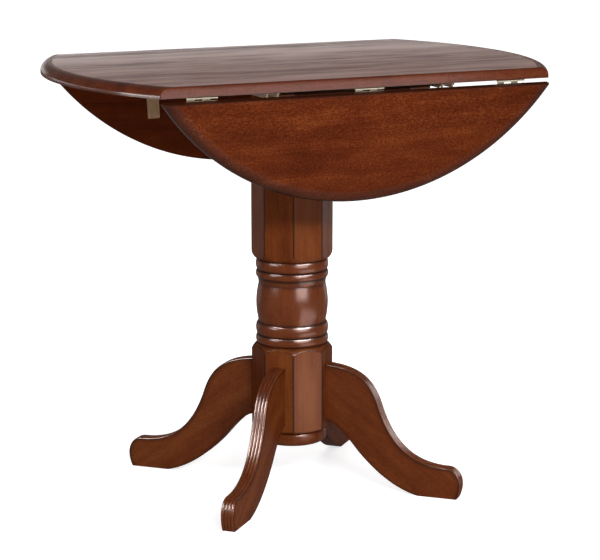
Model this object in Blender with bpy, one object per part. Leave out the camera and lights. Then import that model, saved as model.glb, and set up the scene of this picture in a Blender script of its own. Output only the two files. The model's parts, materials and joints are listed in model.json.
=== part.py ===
"""Drop leaf pub table: a fixed centre panel and two hanging leaves on a turned octagonal pedestal
with four S-curved, reeded legs.

Units are metres and +Z is up. The origin is on the floor under the column, X runs along the
hinge lines, the front leaf is at -Y and the back leaf at +Y. Both leaves hang at rest.
"""
import math

import bmesh
import bpy
from mathutils import Matrix, Vector

# Clearances that every joint and seat shares
SEAT_GAP = 0.0003
RUN_GAP = 0.0001

# Edges turning by more than this stay crisp
ARRIS_ANGLE = math.radians(35)

# Table top
TOP_HEIGHT = 0.9144
TOP_THICKNESS = 0.0222
PANEL_WIDTH = 0.658
HINGED_EDGE_LENGTH = 0.850
END_BULGE = 0.092
LEAF_DEPTH = 0.222
LEAF_GAP = 0.0015
EDGE_LAND = 0.0047
ROUND_OVER = 0.0175
ROUND_STEPS = 5
END_POINTS = 19
LEAF_POINTS = 27

# Where the hinge line lies inside the panel's edge, and how far past straight down a leaf hangs
HINGE_SETBACK = 0.0035
HANG_TILT = math.radians(8)

# Butt hinges
HINGE_LENGTH = 0.0635
HINGE_INSET = 0.087
MIDDLE_HINGE_SHIFT = 0.018
HINGE_KNUCKLES = 4
HINGE_SHEET = 0.0010
PANEL_FLAP = 0.030
LEAF_FLAP = 0.040
FLAP_SETBACK = 0.0050
HINGE_PIN_RADIUS = 0.0007
CURL_START = math.radians(90)
CURL_END = math.radians(370)
CURL_STEPS = 8
PIN_SIDES = 12

# Folding stays that hold a raised leaf
STAY_SPACING = 0.192
STAY_WIDTH = 0.028
STAY_SHEET = 0.0015
STAY_SETBACK = 0.0065
STAY_DROP = 0.0075
STAY_NOSE = 0.012
STAY_BRACKET_LENGTH = 0.118
STAY_ARM_LENGTH = 0.125
STAY_TAIL_RADIUS = 0.006
EAR_STEPS = 6
TAIL_STEPS = 3
STAY_PIN_RADIUS = 0.0010
STAY_HEAD_RADIUS = 0.0017
STAY_HEAD_THICKNESS = 0.0012
SPRING_WIDTH = 0.012
SPRING_SHEET = 0.0008
SPRING_LENGTH = 0.060
SPRING_INSET = 0.040
SPRING_BOW = 0.0025

# Framing under the panel
PLATE_THICKNESS = 0.020
PLATE_CHAMFER = 0.035
PLATE_CLEARANCE = 0.011
CLEAT_WIDTH = 0.045
CLEAT_THICKNESS = 0.020
CLEAT_INSET = 0.039
CLEAT_CLEARANCE = 0.005
CLEAT_SLOPE = 0.030
CLEAT_END = 0.012
RAIL_WIDTH = 0.020
RAIL_INSET = 0.045

# Pedestal column, built up from the floor
COLUMN_FLATS = 0.160
BASE_CAP_BOTTOM = 0.096
BASE_CAP_HEIGHT = 0.0315
BASE_CAP_RADIUS = 0.0735
BASE_CAP_ROUND = 0.0110
FOOT_SHOULDER = 0.0060
FOOT_SHOULDER_RADIUS = 0.0765
LOWER_BLOCK_HEIGHT = 0.171
LOWER_SHOULDER = 0.0137
LOWER_BEAD_1 = 0.0196
LOWER_BEAD_2 = 0.0272
BELLY_HEIGHT = 0.083
COVE_HEIGHT = 0.0129
UPPER_BEAD_1 = 0.0170
UPPER_BEAD_2 = 0.0238
UPPER_SHOULDER = 0.0164
BEAD_RADIUS = 0.0775
GROOVE_RADIUS = 0.0738
NECK_RADIUS = 0.0718
BELLY_RADIUS = 0.0769
BEAD_FULLNESS = 0.65
BELLY_FULLNESS = 1.0
COVE_HOLLOW = 0.25
CHAMFER_ROUNDNESS = 1.2
SHOULDER_ROUNDNESS = 1.8
COLUMN_SEGMENTS = 32
TURNED_STEPS = 6
SHOULDER_STEPS = 5
ROUND_RIM_STEPS = 3

# Legs, as distances from the column's axis and heights above the floor
LEG_THICKNESS = 0.028
LEG_TOP = 0.268
LEG_ROOT_BOTTOM = 0.147
SHOULDER_REACH = 0.150
SHOULDER_SAG = 0.004
KNEE_REACH = 0.1974
KNEE_HEIGHT = 0.1886
KNEE_RUN_OUT = 0.0531
KNEE_RUN_IN = 0.0997
KNEE_SLOPE = math.radians(-71.5)
FOOT_HEIGHT = 0.0632
INSTEP_RUN = 0.072
LEG_REACH = 0.371
FOOT_LENGTH = 0.0825
TOE_SETBACK = 0.0190
TOE_PULL = 0.0185
TOE_BULGE = 0.0190
TOE_BULGE_HEIGHT = 0.0394
ARCH_REACH = 0.1578
ARCH_HEIGHT = 0.0828
ARCH_RUN_OUT = 0.0080
ARCH_RUN_IN = 0.0218
ARCH_SLOPE = math.radians(-45)
ARCH_ROOT_RUN = 0.025
ARCH_ROOT_RISE = 0.004
HEEL_RUN = 0.0672
HEEL_RISE = 0.0143
REED_COUNT = 4
REED_HEIGHT = 0.0032
REED_FULLNESS = 0.7
REED_STEPS = 4
CURVE_STEPS = 8
LEG_ANGLES = {"front": -135, "right": -45, "back": 45, "left": 135}

# Bolts that draw the legs against the column
BOLT_RADIUS = 0.0040
BOLT_IN_COLUMN = 0.042
BOLT_IN_LEG = 0.040
BOLT_EDGE = 0.032

# Values that follow from the sizes above
UNDERSIDE = TOP_HEIGHT - TOP_THICKNESS
KNUCKLE_BORE = (HINGE_PIN_RADIUS + RUN_GAP) / math.cos(math.pi / PIN_SIDES)
KNUCKLE_RADIUS = KNUCKLE_BORE + HINGE_SHEET
HINGE_DROP = KNUCKLE_RADIUS + SEAT_GAP
HINGE_Y = PANEL_WIDTH / 2 - HINGE_SETBACK
HINGE_Z = UNDERSIDE - HINGE_DROP
LEAF_EDGE = HINGE_SETBACK + LEAF_GAP
HINGE_SPACING = HINGED_EDGE_LENGTH / 2 - HINGE_INSET
STAY_EAR = KNUCKLE_RADIUS
STAY_ROOF = STAY_EAR - STAY_SHEET
CLEAT_SPACING = STAY_SPACING - STAY_WIDTH / 2 - CLEAT_CLEARANCE - CLEAT_WIDTH / 2
RAIL_HALF = CLEAT_SPACING - CLEAT_WIDTH / 2 - SEAT_GAP
PLATE_HALF = RAIL_HALF - PLATE_CLEARANCE
APOTHEM = COLUMN_FLATS / 2
VERTEX_RADIUS = APOTHEM / math.cos(math.pi / 8)
COLUMN_BOTTOM = BASE_CAP_BOTTOM + BASE_CAP_HEIGHT + SEAT_GAP
PLATE_TOP = UNDERSIDE - SEAT_GAP
COLUMN_TOP = PLATE_TOP - PLATE_THICKNESS - SEAT_GAP
LEG_ROOT = APOTHEM + SEAT_GAP
BOLT_HEIGHTS = {"lower": LEG_ROOT_BOTTOM + BOLT_EDGE, "upper": LEG_TOP - BOLT_EDGE}
SIDES = {"front": -1, "back": 1}


def clear_scene():
    for item in list(bpy.data.objects):
        bpy.data.objects.remove(item, do_unlink=True)


def finish(name, colour, roughness, metallic):
    material = bpy.data.materials.new(name)
    material.use_nodes = True
    shader = material.node_tree.nodes["Principled BSDF"]
    shader.inputs["Base Color"].default_value = (*colour, 1.0)
    shader.inputs["Roughness"].default_value = roughness
    shader.inputs["Metallic"].default_value = metallic
    return material


def add_object(name, mesh_data, material, parent=None):
    """Turn a bmesh into a named object, smooth but for its arrises, optionally under a parent empty."""
    bmesh.ops.recalc_face_normals(mesh_data, faces=mesh_data.faces)
    mesh = bpy.data.meshes.new(name)
    mesh_data.to_mesh(mesh)
    mesh_data.free()
    mesh.shade_smooth()
    mesh.set_sharp_from_angle(angle=ARRIS_ANGLE)
    item = bpy.data.objects.new(name, mesh)
    if material:
        mesh.materials.append(material)
    bpy.context.scene.collection.objects.link(item)
    item.parent = parent
    return item


def add_cutter(name, mesh_data, parent=None):
    item = add_object(name, mesh_data, None, parent)
    item.hide_render = True
    item.display_type = "WIRE"
    return item


def cut(item, cutter):
    modifier = item.modifiers.new("cut " + cutter.name, "BOOLEAN")
    modifier.operation = "DIFFERENCE"
    modifier.solver = "EXACT"
    modifier.object = cutter


def loft(loops, mesh_data=None):
    """Skin a stack of loops that all have the same number of points, and close both ends."""
    if mesh_data is None:
        mesh_data = bmesh.new()
    rings = [[mesh_data.verts.new(point) for point in loop] for loop in loops]
    for low, high in zip(rings, rings[1:]):
        for i in range(len(low)):
            j = (i + 1) % len(low)
            mesh_data.faces.new((low[i], low[j], high[j], high[i]))
    mesh_data.faces.new(list(reversed(rings[0])))
    mesh_data.faces.new(rings[-1])
    return mesh_data


def box(low, high):
    corners = [(low[0], low[1]), (high[0], low[1]), (high[0], high[1]), (low[0], high[1])]
    return loft([[(x, y, z) for x, y in corners] for z in (low[2], high[2])])


def rod(stations, sides=PIN_SIDES):
    """Loops of a round bar along X, from a list of (x, radius)."""
    turns = [2 * math.pi * i / sides for i in range(sides)]
    return [[(x, r * math.cos(t), r * math.sin(t)) for t in turns] for x, r in stations]


def bezier(start, pull_out, pull_in, end, steps=CURVE_STEPS):
    """Points of a cubic curve, without its last point."""
    points = []
    for i in range(steps):
        t = i / steps
        s = 1 - t
        point = start * s**3 + pull_out * 3 * s * s * t + pull_in * 3 * s * t * t + end * t**3
        points.append(point)
    return points


def edge_profile():
    """Levels of a moulded top edge as (height above the underside, inset)."""
    levels = [(0.0, 0.0)]
    for i in range(ROUND_STEPS + 1):
        turn = math.pi / 2 * i / ROUND_STEPS
        height = EDGE_LAND + (TOP_THICKNESS - EDGE_LAND) * math.sin(turn)
        levels.append((height, ROUND_OVER * (1 - math.cos(turn))))
    return levels


def arc_circle(half_chord, bulge):
    """Radius of an arc over a chord, and how far its centre lies beyond the chord."""
    radius = (half_chord**2 + bulge**2) / (2 * bulge)
    return radius, bulge - radius


def arc(radius, centre, half_angle, count):
    """Points of an arc as (along the chord, out from the chord)."""
    points = []
    for i in range(count):
        turn = half_angle * (2 * i / (count - 1) - 1)
        points.append((radius * math.sin(turn), centre + radius * math.cos(turn)))
    return points


def centre_panel(wood):
    half_width = PANEL_WIDTH / 2
    half_edge = HINGED_EDGE_LENGTH / 2
    radius, centre = arc_circle(half_width, END_BULGE)
    loops = []
    for height, inset in edge_profile():
        inner = radius - inset
        points = arc(inner, centre, math.asin(half_width / inner), END_POINTS)
        right = [(half_edge + out, along, UNDERSIDE + height) for along, out in points]
        left = [(-x, -y, z) for x, y, z in right]
        loops.append(right + left)
    add_object("centre_panel", loft(loops), wood)


def drop_leaf(name, side, pivot, wood):
    """A leaf drawn raised, in the frame of its hinge axis."""
    radius, centre = arc_circle(HINGED_EDGE_LENGTH / 2, LEAF_DEPTH)
    loops = []
    for height, inset in edge_profile():
        inner = radius - inset
        points = arc(inner, centre, math.acos(-centre / inner), LEAF_POINTS)
        loops.append([(x, side * (LEAF_EDGE + out), HINGE_DROP + height) for x, out in points])
    add_object(name, loft(loops), wood, pivot)


def hinge_line(name, side, hang):
    """An empty on a hinge axis; its turn hangs what is drawn raised."""
    pivot = bpy.data.objects.new(name, None)
    pivot.location = (0, side * HINGE_Y, HINGE_Z)
    pivot.rotation_euler = (-side * hang, 0, 0)
    bpy.context.scene.collection.objects.link(pivot)
    return pivot


def knuckle_section(out):
    """Outline of a knuckle rolled down from its flap, in (y, z) about the pin."""
    turns = [CURL_START + (CURL_END - CURL_START) * i / CURL_STEPS for i in range(CURL_STEPS + 1)]
    curl = [(KNUCKLE_RADIUS * math.cos(t), KNUCKLE_RADIUS * math.sin(t)) for t in turns]
    curl += [(KNUCKLE_BORE * math.cos(t), KNUCKLE_BORE * math.sin(t)) for t in reversed(turns)]
    near_top = (FLAP_SETBACK, KNUCKLE_RADIUS)
    near_low = (FLAP_SETBACK, KNUCKLE_BORE)
    return [(out * y, z) for y, z in [near_top, *curl, near_low]]


def hinge_flap(name, x, out, width, first, pivot, brass):
    """A hinge flap whose knuckles are rolled from the sheet at every second place."""
    pitch = HINGE_LENGTH / HINGE_KNUCKLES
    section = knuckle_section(out)
    far_y = out * (FLAP_SETBACK + width)
    low_z = section[-1][1]
    top_z = section[0][1]
    start = x - HINGE_LENGTH / 2
    breaks = [start]
    for k in range(1, HINGE_KNUCKLES):
        after_rolled = (k - 1) % 2 == first
        breaks.append(start + k * pitch + (-SEAT_GAP if after_rolled else SEAT_GAP))
    breaks.append(start + HINGE_LENGTH)
    mesh_data = bmesh.new()
    rows = []
    for place in breaks:
        ring = [mesh_data.verts.new((place, y, z)) for y, z in section]
        far = [mesh_data.verts.new((place, far_y, z)) for z in (low_z, top_z)]
        rows.append((ring, far))
    for i in range(HINGE_KNUCKLES):
        ring, far = rows[i]
        next_ring, next_far = rows[i + 1]
        mesh_data.faces.new((ring[0], next_ring[0], next_far[1], far[1]))
        mesh_data.faces.new((ring[-1], far[0], next_far[0], next_ring[-1]))
        mesh_data.faces.new((far[0], far[1], next_far[1], next_far[0]))
        if i % 2 != first:
            mesh_data.faces.new((ring[0], ring[-1], next_ring[-1], next_ring[0]))
            continue
        for k in range(len(section) - 1):
            mesh_data.faces.new((ring[k], ring[k + 1], next_ring[k + 1], next_ring[k]))
        mesh_data.faces.new(ring)
        mesh_data.faces.new(next_ring)
    for ring, far in (rows[0], rows[-1]):
        mesh_data.faces.new((ring[0], far[1], far[0], ring[-1]))
    loose = [vertex for vertex in mesh_data.verts if not vertex.link_faces]
    bmesh.ops.delete(mesh_data, geom=loose, context="VERTS")
    add_object(name, mesh_data, brass, pivot)


def butt_hinge(name, x, side, fixed, moving, brass, steel):
    leaf_first = 0 if side < 0 else 1
    hinge_flap(name + "_panel_flap", x, -side, PANEL_FLAP, 1 - leaf_first, fixed, brass)
    hinge_flap(name + "_leaf_flap", x, side, LEAF_FLAP, leaf_first, moving, brass)
    half = HINGE_LENGTH / 2
    pin = rod([(x - half, HINGE_PIN_RADIUS), (x + half, HINGE_PIN_RADIUS)])
    add_object(name + "_pin", loft(pin), steel, fixed)


def stay_outline(length, out):
    """Side view of a stay's channel about its pivot: a small ear, a deepening nose and a rounded tail."""
    outline = []
    for i in range(EAR_STEPS + 1):
        turn = math.pi / 2 + math.pi * i / EAR_STEPS
        outline.append((STAY_EAR * math.cos(turn), STAY_EAR * math.sin(turn)))
    outline.append((STAY_NOSE, -STAY_DROP))
    for i in range(TAIL_STEPS + 1):
        turn = math.pi / 2 * i / TAIL_STEPS
        in_from_end = STAY_TAIL_RADIUS * (1 - math.sin(turn))
        outline.append((length - in_from_end, STAY_TAIL_RADIUS * (1 - math.cos(turn)) - STAY_DROP))
    outline.append((length, STAY_EAR))
    return [(out * y, z) for y, z in outline]


def stay_channel(name, x, out, width, length, pivot, pin_hole, metal):
    """A pressed channel: the side view drawn across its width, hollowed, and open above the pivot."""
    outline = stay_outline(length, out)
    places = (x - width / 2, x + width / 2)
    channel = add_object(name, loft([[(p, y, z) for y, z in outline] for p in places]), metal, pivot)
    past = length + STAY_DROP
    inside = [(-past, -past), (past, -past), (past, STAY_ROOF),
              (STAY_SETBACK, STAY_ROOF), (STAY_SETBACK, past), (-past, past)]
    walls = (x - width / 2 + STAY_SHEET, x + width / 2 - STAY_SHEET)
    hollow = loft([[(p, out * y, z) for y, z in inside] for p in walls])
    cut(channel, add_cutter(name + "_hollow", hollow, pivot))
    cut(channel, pin_hole)


def lock_spring(name, x, out, pivot, steel):
    """A bowed flat spring that lies against the roof of the fixed channel."""
    half = SPRING_WIDTH / 2
    loops = []
    for i in range(CURVE_STEPS):
        along = i / (CURVE_STEPS - 1)
        y = out * (SPRING_INSET + SPRING_LENGTH * along)
        top = STAY_ROOF - SEAT_GAP - SPRING_BOW * math.sin(math.pi * along)
        low = top - SPRING_SHEET
        loops.append([(x - half, y, low), (x + half, y, low), (x + half, y, top), (x - half, y, top)])
    add_object(name, loft(loops), steel, pivot)


def folding_stay(name, x, side, fixed, moving, pin_hole, metal, steel):
    arm_width = STAY_WIDTH - 2 * (STAY_SHEET + SEAT_GAP)
    stay_channel(name + "_bracket", x, -side, STAY_WIDTH, STAY_BRACKET_LENGTH, fixed, pin_hole, metal)
    stay_channel(name + "_arm", x, side, arm_width, STAY_ARM_LENGTH, moving, pin_hole, metal)
    lock_spring(name + "_spring", x, -side, fixed, steel)
    inner = STAY_WIDTH / 2 + SEAT_GAP
    outer = inner + STAY_HEAD_THICKNESS
    shank = [(x - outer, STAY_HEAD_RADIUS), (x - inner, STAY_HEAD_RADIUS), (x - inner, STAY_PIN_RADIUS),
             (x + inner, STAY_PIN_RADIUS), (x + inner, STAY_HEAD_RADIUS), (x + outer, STAY_HEAD_RADIUS)]
    add_object(name + "_rivet", loft(rod(shank)), steel, fixed)


def swelling(base, height, root, crest, top, fullness):
    """Stations of a rounded swelling, without its last: root radius, crest radius, top radius."""
    stations = []
    for i in range(TURNED_STEPS):
        along = i / TURNED_STEPS
        foot = root + (top - root) * along
        bulge = math.sin(math.pi * along) ** fullness
        stations.append((base + height * along, foot + (crest - foot) * bulge))
    return stations


def shoulder(base, height, inner, outer, roundness, rising):
    """Stations that turn an octagonal block down to a cylinder: 1 is a chamfer, 2 a quarter-round."""
    stations = []
    for i in range(SHOULDER_STEPS + 1):
        along = i / SHOULDER_STEPS
        depth = 1 - along if rising else along
        swell = (1 - depth**roundness) ** (1 / roundness)
        stations.append((base + height * along, inner + (outer - inner) * swell))
    return stations


def column_stations():
    """The lathe's cut as (height, radius); the octagon shows wherever the cut is wider than it."""
    z = COLUMN_BOTTOM
    stations = shoulder(z, FOOT_SHOULDER, FOOT_SHOULDER_RADIUS, VERTEX_RADIUS, SHOULDER_ROUNDNESS, True)
    z += LOWER_BLOCK_HEIGHT
    stations += shoulder(z, LOWER_SHOULDER, GROOVE_RADIUS, VERTEX_RADIUS, CHAMFER_ROUNDNESS, False)[:-1]
    z += LOWER_SHOULDER
    stations += swelling(z, LOWER_BEAD_1, GROOVE_RADIUS, BEAD_RADIUS, GROOVE_RADIUS, BEAD_FULLNESS)
    z += LOWER_BEAD_1
    stations += swelling(z, LOWER_BEAD_2, GROOVE_RADIUS, BEAD_RADIUS, NECK_RADIUS, BEAD_FULLNESS)
    z += LOWER_BEAD_2
    stations += swelling(z, BELLY_HEIGHT, NECK_RADIUS, BELLY_RADIUS, NECK_RADIUS, BELLY_FULLNESS)
    z += BELLY_HEIGHT
    stations.append((z, NECK_RADIUS))
    stations.append((z + COVE_HEIGHT / 2, NECK_RADIUS + (GROOVE_RADIUS - NECK_RADIUS) * COVE_HOLLOW))
    z += COVE_HEIGHT
    stations += swelling(z, UPPER_BEAD_1, GROOVE_RADIUS, BEAD_RADIUS, GROOVE_RADIUS, BEAD_FULLNESS)
    z += UPPER_BEAD_1
    stations += swelling(z, UPPER_BEAD_2, GROOVE_RADIUS, BEAD_RADIUS, GROOVE_RADIUS, BEAD_FULLNESS)
    z += UPPER_BEAD_2
    stations += shoulder(z, UPPER_SHOULDER, GROOVE_RADIUS, VERTEX_RADIUS, SHOULDER_ROUNDNESS, True)
    stations.append((COLUMN_TOP, VERTEX_RADIUS))
    return stations


def octagon_radius(turn):
    """Distance from the axis to an octagon's side, with flats facing X and Y."""
    eighth = math.pi / 4
    off_flat = (turn + eighth / 2) % eighth - eighth / 2
    return APOTHEM / math.cos(off_flat)


def pedestal_column(wood, bolt_holes):
    turns = [2 * math.pi * i / COLUMN_SEGMENTS for i in range(COLUMN_SEGMENTS)]
    loops = []
    for z, limit in column_stations():
        radii = [min(octagon_radius(t), limit) for t in turns]
        loops.append([(r * math.cos(t), r * math.sin(t), z) for r, t in zip(radii, turns)])
    column = add_object("pedestal_column", loft(loops), wood)
    cut(column, bolt_holes)


def base_cap(wood):
    """The turned disc under the column, with a rounded rim."""
    turns = [2 * math.pi * i / COLUMN_SEGMENTS for i in range(COLUMN_SEGMENTS)]
    inner = BASE_CAP_RADIUS - BASE_CAP_ROUND
    stations = []
    for i in range(ROUND_RIM_STEPS + 1):
        turn = math.pi / 2 * i / ROUND_RIM_STEPS
        rise = BASE_CAP_ROUND * (1 - math.cos(turn))
        stations.append((rise, inner + BASE_CAP_ROUND * math.sin(turn)))
    stations += [(BASE_CAP_HEIGHT - rise, radius) for rise, radius in reversed(stations)]
    loops = []
    for rise, radius in stations:
        z = BASE_CAP_BOTTOM + rise
        loops.append([(radius * math.cos(t), radius * math.sin(t), z) for t in turns])
    add_object("column_base_cap", loft(loops), wood)


def leg_top_path():
    """The reeded edge from the column, over the knee and round the toe to the floor."""
    start = Vector((LEG_ROOT, LEG_TOP))
    knee = Vector((KNEE_REACH, KNEE_HEIGHT))
    along = Vector((math.cos(KNEE_SLOPE), math.sin(KNEE_SLOPE)))
    toe = Vector((LEG_REACH - TOE_SETBACK, FOOT_HEIGHT))
    tip = Vector((LEG_REACH, 0))
    path = bezier(start, Vector((SHOULDER_REACH, LEG_TOP - SHOULDER_SAG)), knee - along * KNEE_RUN_OUT, knee)
    path += bezier(knee, knee + along * KNEE_RUN_IN, toe - Vector((INSTEP_RUN, 0)), toe)
    path += bezier(toe, toe + Vector((TOE_PULL, 0)), tip + Vector((TOE_BULGE, TOE_BULGE_HEIGHT)), tip)
    return path + [tip]


def leg_under_path():
    """The plain lower edge from the column to the heel."""
    start = Vector((LEG_ROOT, LEG_ROOT_BOTTOM))
    arch = Vector((ARCH_REACH, ARCH_HEIGHT))
    along = Vector((math.cos(ARCH_SLOPE), math.sin(ARCH_SLOPE)))
    heel = Vector((LEG_REACH - FOOT_LENGTH, 0))
    root_pull = start + Vector((ARCH_ROOT_RUN, ARCH_ROOT_RISE))
    path = bezier(start, root_pull, arch - along * ARCH_RUN_OUT, arch)
    path += bezier(arch, arch + along * ARCH_RUN_IN, heel + Vector((-HEEL_RUN, HEEL_RISE)), heel)
    return path + [heel]


def reed_section():
    """Points across the edge as (offset from the leg's middle, height of the reeds)."""
    pitch = LEG_THICKNESS / REED_COUNT
    points = []
    for i in range(REED_COUNT * REED_STEPS + 1):
        rise = REED_HEIGHT * abs(math.sin(math.pi * i / REED_STEPS)) ** REED_FULLNESS
        points.append((i * pitch / REED_STEPS - LEG_THICKNESS / 2, rise))
    return points


def edge_normals(path):
    """Outward normals of the reeded edge; the ends keep to the column's face and to the floor."""
    normals = [Vector((0, 1))]
    for before, after in zip(path, path[2:]):
        run = (after - before).normalized()
        normals.append(Vector((-run.y, run.x)))
    return normals + [Vector((1, 0))]


def leg(name, angle, wood, bolt_holes):
    """A sawn S-curve with reeds swept along its upper edge, turned to its corner of the column."""
    top_path = leg_top_path()
    under_path = leg_under_path()
    section = reed_section()
    mesh_data = bmesh.new()
    rows = []
    for point, normal in zip(top_path, edge_normals(top_path)):
        reeds = [point + normal * rise for offset, rise in section]
        rows.append([mesh_data.verts.new((p.x, offset, p.y)) for p, (offset, rise) in zip(reeds, section)])
    half = LEG_THICKNESS / 2
    lower = []
    for point in under_path:
        lower.append([mesh_data.verts.new((point.x, offset, point.y)) for offset in (-half, half)])
    for row, after in zip(rows, rows[1:]):
        for i in range(len(section) - 1):
            mesh_data.faces.new((row[i], row[i + 1], after[i + 1], after[i]))
    for pair, after in zip(lower, lower[1:]):
        mesh_data.faces.new((pair[0], after[0], after[1], pair[1]))
    for edge, end in ((0, 0), (-1, 1)):
        mesh_data.faces.new([row[edge] for row in rows] + [pair[end] for pair in reversed(lower)])
    for row, pair in ((rows[0], lower[0]), (rows[-1], lower[-1])):
        mesh_data.faces.new(row + [pair[1], pair[0]])
    item = add_object(name, mesh_data, wood)
    item.rotation_euler = (0, 0, math.radians(angle))
    cut(item, bolt_holes)


def bolt_loops(radius, clearance):
    start = LEG_ROOT - BOLT_IN_COLUMN - clearance
    end = LEG_ROOT + BOLT_IN_LEG + clearance
    return rod([(start, radius), (end, radius)])


def place_bolt(loops, angle, height):
    move = Matrix.Translation((0, 0, height)) @ Matrix.Rotation(math.radians(angle), 4, "Z")
    return [[move @ Vector(point) for point in loop] for loop in loops]


def leg_bolt_holes():
    """One cutter for every bolt, because each passes from a leg into the column."""
    radius = (BOLT_RADIUS + RUN_GAP) / math.cos(math.pi / PIN_SIDES)
    mesh_data = bmesh.new()
    for angle in LEG_ANGLES.values():
        for height in BOLT_HEIGHTS.values():
            loft(place_bolt(bolt_loops(radius, SEAT_GAP), angle, height), mesh_data)
    return add_cutter("leg_bolt_holes", mesh_data)


def leg_bolts(steel):
    for place, angle in LEG_ANGLES.items():
        for level, height in BOLT_HEIGHTS.items():
            loops = place_bolt(bolt_loops(BOLT_RADIUS, 0), angle, height)
            add_object(f"{place}_leg_bolt_{level}", loft(loops), steel)


def mounting_plate(wood):
    """The square plate on top of the column, with its corners cut off."""
    half = PLATE_HALF
    short = half - PLATE_CHAMFER
    corners = [(half, -short), (half, short), (short, half), (-short, half),
               (-half, short), (-half, -short), (-short, -half), (short, -half)]
    levels = (PLATE_TOP - PLATE_THICKNESS, PLATE_TOP)
    add_object("mounting_plate", loft([[(x, y, z) for x, y in corners] for z in levels]), wood)


def cleat(name, x, wood):
    """A batten across the panel's grain, with its ends sloped up to the panel."""
    top = UNDERSIDE - SEAT_GAP
    half = PANEL_WIDTH / 2 - CLEAT_INSET
    outline = [(-half, top), (-half, top - CLEAT_END), (-half + CLEAT_SLOPE, top - CLEAT_THICKNESS),
               (half - CLEAT_SLOPE, top - CLEAT_THICKNESS), (half, top - CLEAT_END), (half, top)]
    places = (x - CLEAT_WIDTH / 2, x + CLEAT_WIDTH / 2)
    add_object(name, loft([[(p, y, z) for y, z in outline] for p in places]), wood)


def rail(name, side, wood):
    """A strip along each hinged edge that ties the battens together."""
    top = UNDERSIDE - SEAT_GAP
    outer = side * (PANEL_WIDTH / 2 - RAIL_INSET)
    inner = outer - side * RAIL_WIDTH
    low = (-RAIL_HALF, min(inner, outer), top - CLEAT_THICKNESS)
    add_object(name, box(low, (RAIL_HALF, max(inner, outer), top)), wood)


def stay_pin_hole(name, pivot):
    radius = (STAY_PIN_RADIUS + RUN_GAP) / math.cos(math.pi / PIN_SIDES)
    reach = STAY_SPACING + STAY_WIDTH
    return add_cutter(name, loft(rod([(-reach, radius), (reach, radius)])), pivot)


def build():
    clear_scene()
    wood = finish("cherry_stained_wood", (0.150, 0.040, 0.014), 0.32, 0.0)
    frame_wood = finish("frame_wood", (0.085, 0.028, 0.013), 0.55, 0.0)
    brass = finish("hinge_brass", (0.68, 0.55, 0.30), 0.35, 1.0)
    stay_metal = finish("brassed_steel", (0.50, 0.40, 0.25), 0.42, 1.0)
    steel = finish("bright_steel", (0.55, 0.54, 0.52), 0.35, 1.0)

    centre_panel(wood)
    mounting_plate(frame_wood)
    for place, x in (("left", -CLEAT_SPACING), ("right", CLEAT_SPACING)):
        cleat(f"{place}_cleat", x, frame_wood)
    for place, side in SIDES.items():
        rail(f"{place}_rail", side, frame_wood)

    bolt_holes = leg_bolt_holes()
    pedestal_column(wood, bolt_holes)
    base_cap(wood)
    for place, angle in LEG_ANGLES.items():
        leg(f"{place}_leg", angle, wood, bolt_holes)
    leg_bolts(steel)

    for place, side in SIDES.items():
        fixed = hinge_line(f"{place}_hinge_line", side, 0)
        moving = hinge_line(f"{place}_leaf_pivot", side, math.pi / 2 + HANG_TILT)
        drop_leaf(f"{place}_leaf", side, moving, wood)
        middle = -side * MIDDLE_HINGE_SHIFT
        for spot, x in (("left", -HINGE_SPACING), ("middle", middle), ("right", HINGE_SPACING)):
            butt_hinge(f"{place}_{spot}_hinge", x, side, fixed, moving, brass, steel)
        pin_hole = stay_pin_hole(f"{place}_stay_pin_hole", fixed)
        for spot, x in (("left", -STAY_SPACING), ("right", STAY_SPACING)):
            folding_stay(f"{place}_{spot}_stay", x, side, fixed, moving, pin_hole, stay_metal, steel)


build()
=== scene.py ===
import json
import math

import bmesh
import bpy
from mathutils import Matrix, Vector

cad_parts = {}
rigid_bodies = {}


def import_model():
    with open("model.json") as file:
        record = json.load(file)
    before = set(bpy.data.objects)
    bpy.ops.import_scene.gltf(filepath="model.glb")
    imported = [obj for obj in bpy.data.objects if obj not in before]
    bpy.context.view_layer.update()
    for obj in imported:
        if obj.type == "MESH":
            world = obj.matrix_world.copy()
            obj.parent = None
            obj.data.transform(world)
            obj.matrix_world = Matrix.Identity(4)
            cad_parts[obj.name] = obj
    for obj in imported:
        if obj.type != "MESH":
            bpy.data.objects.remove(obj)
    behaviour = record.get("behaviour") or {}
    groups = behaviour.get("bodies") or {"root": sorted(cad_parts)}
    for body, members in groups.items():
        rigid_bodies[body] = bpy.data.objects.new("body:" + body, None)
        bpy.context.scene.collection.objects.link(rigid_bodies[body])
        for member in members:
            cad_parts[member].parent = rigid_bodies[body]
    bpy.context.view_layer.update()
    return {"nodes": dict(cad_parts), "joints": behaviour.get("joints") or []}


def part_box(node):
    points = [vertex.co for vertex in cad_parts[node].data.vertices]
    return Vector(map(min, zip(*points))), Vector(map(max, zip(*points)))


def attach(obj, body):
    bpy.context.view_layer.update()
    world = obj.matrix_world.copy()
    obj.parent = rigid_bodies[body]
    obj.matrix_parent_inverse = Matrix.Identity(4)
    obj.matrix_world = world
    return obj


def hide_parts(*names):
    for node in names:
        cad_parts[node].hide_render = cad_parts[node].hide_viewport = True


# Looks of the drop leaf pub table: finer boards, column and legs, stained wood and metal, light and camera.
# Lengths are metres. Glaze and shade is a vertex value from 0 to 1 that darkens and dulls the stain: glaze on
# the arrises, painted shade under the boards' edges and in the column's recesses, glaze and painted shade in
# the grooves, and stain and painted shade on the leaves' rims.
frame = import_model()

# Table top mouldings
EDGE_LAND = 0.0047
ROUND_OVER = 0.0175
ROUND_STEPS = 14
MOULDING_MARGIN = 0.0070
SQUARE_MARGIN = 0.0025
ARRIS = 0.0008
UNDER_ARRIS = 0.0003
TIP_ROUND = 0.0050
CORNER_ROUND = 0.0015
CORNER_STEPS = 5
END_POINTS = 65
LEAF_POINTS = 97
BOARD_CREASE = 40
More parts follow.
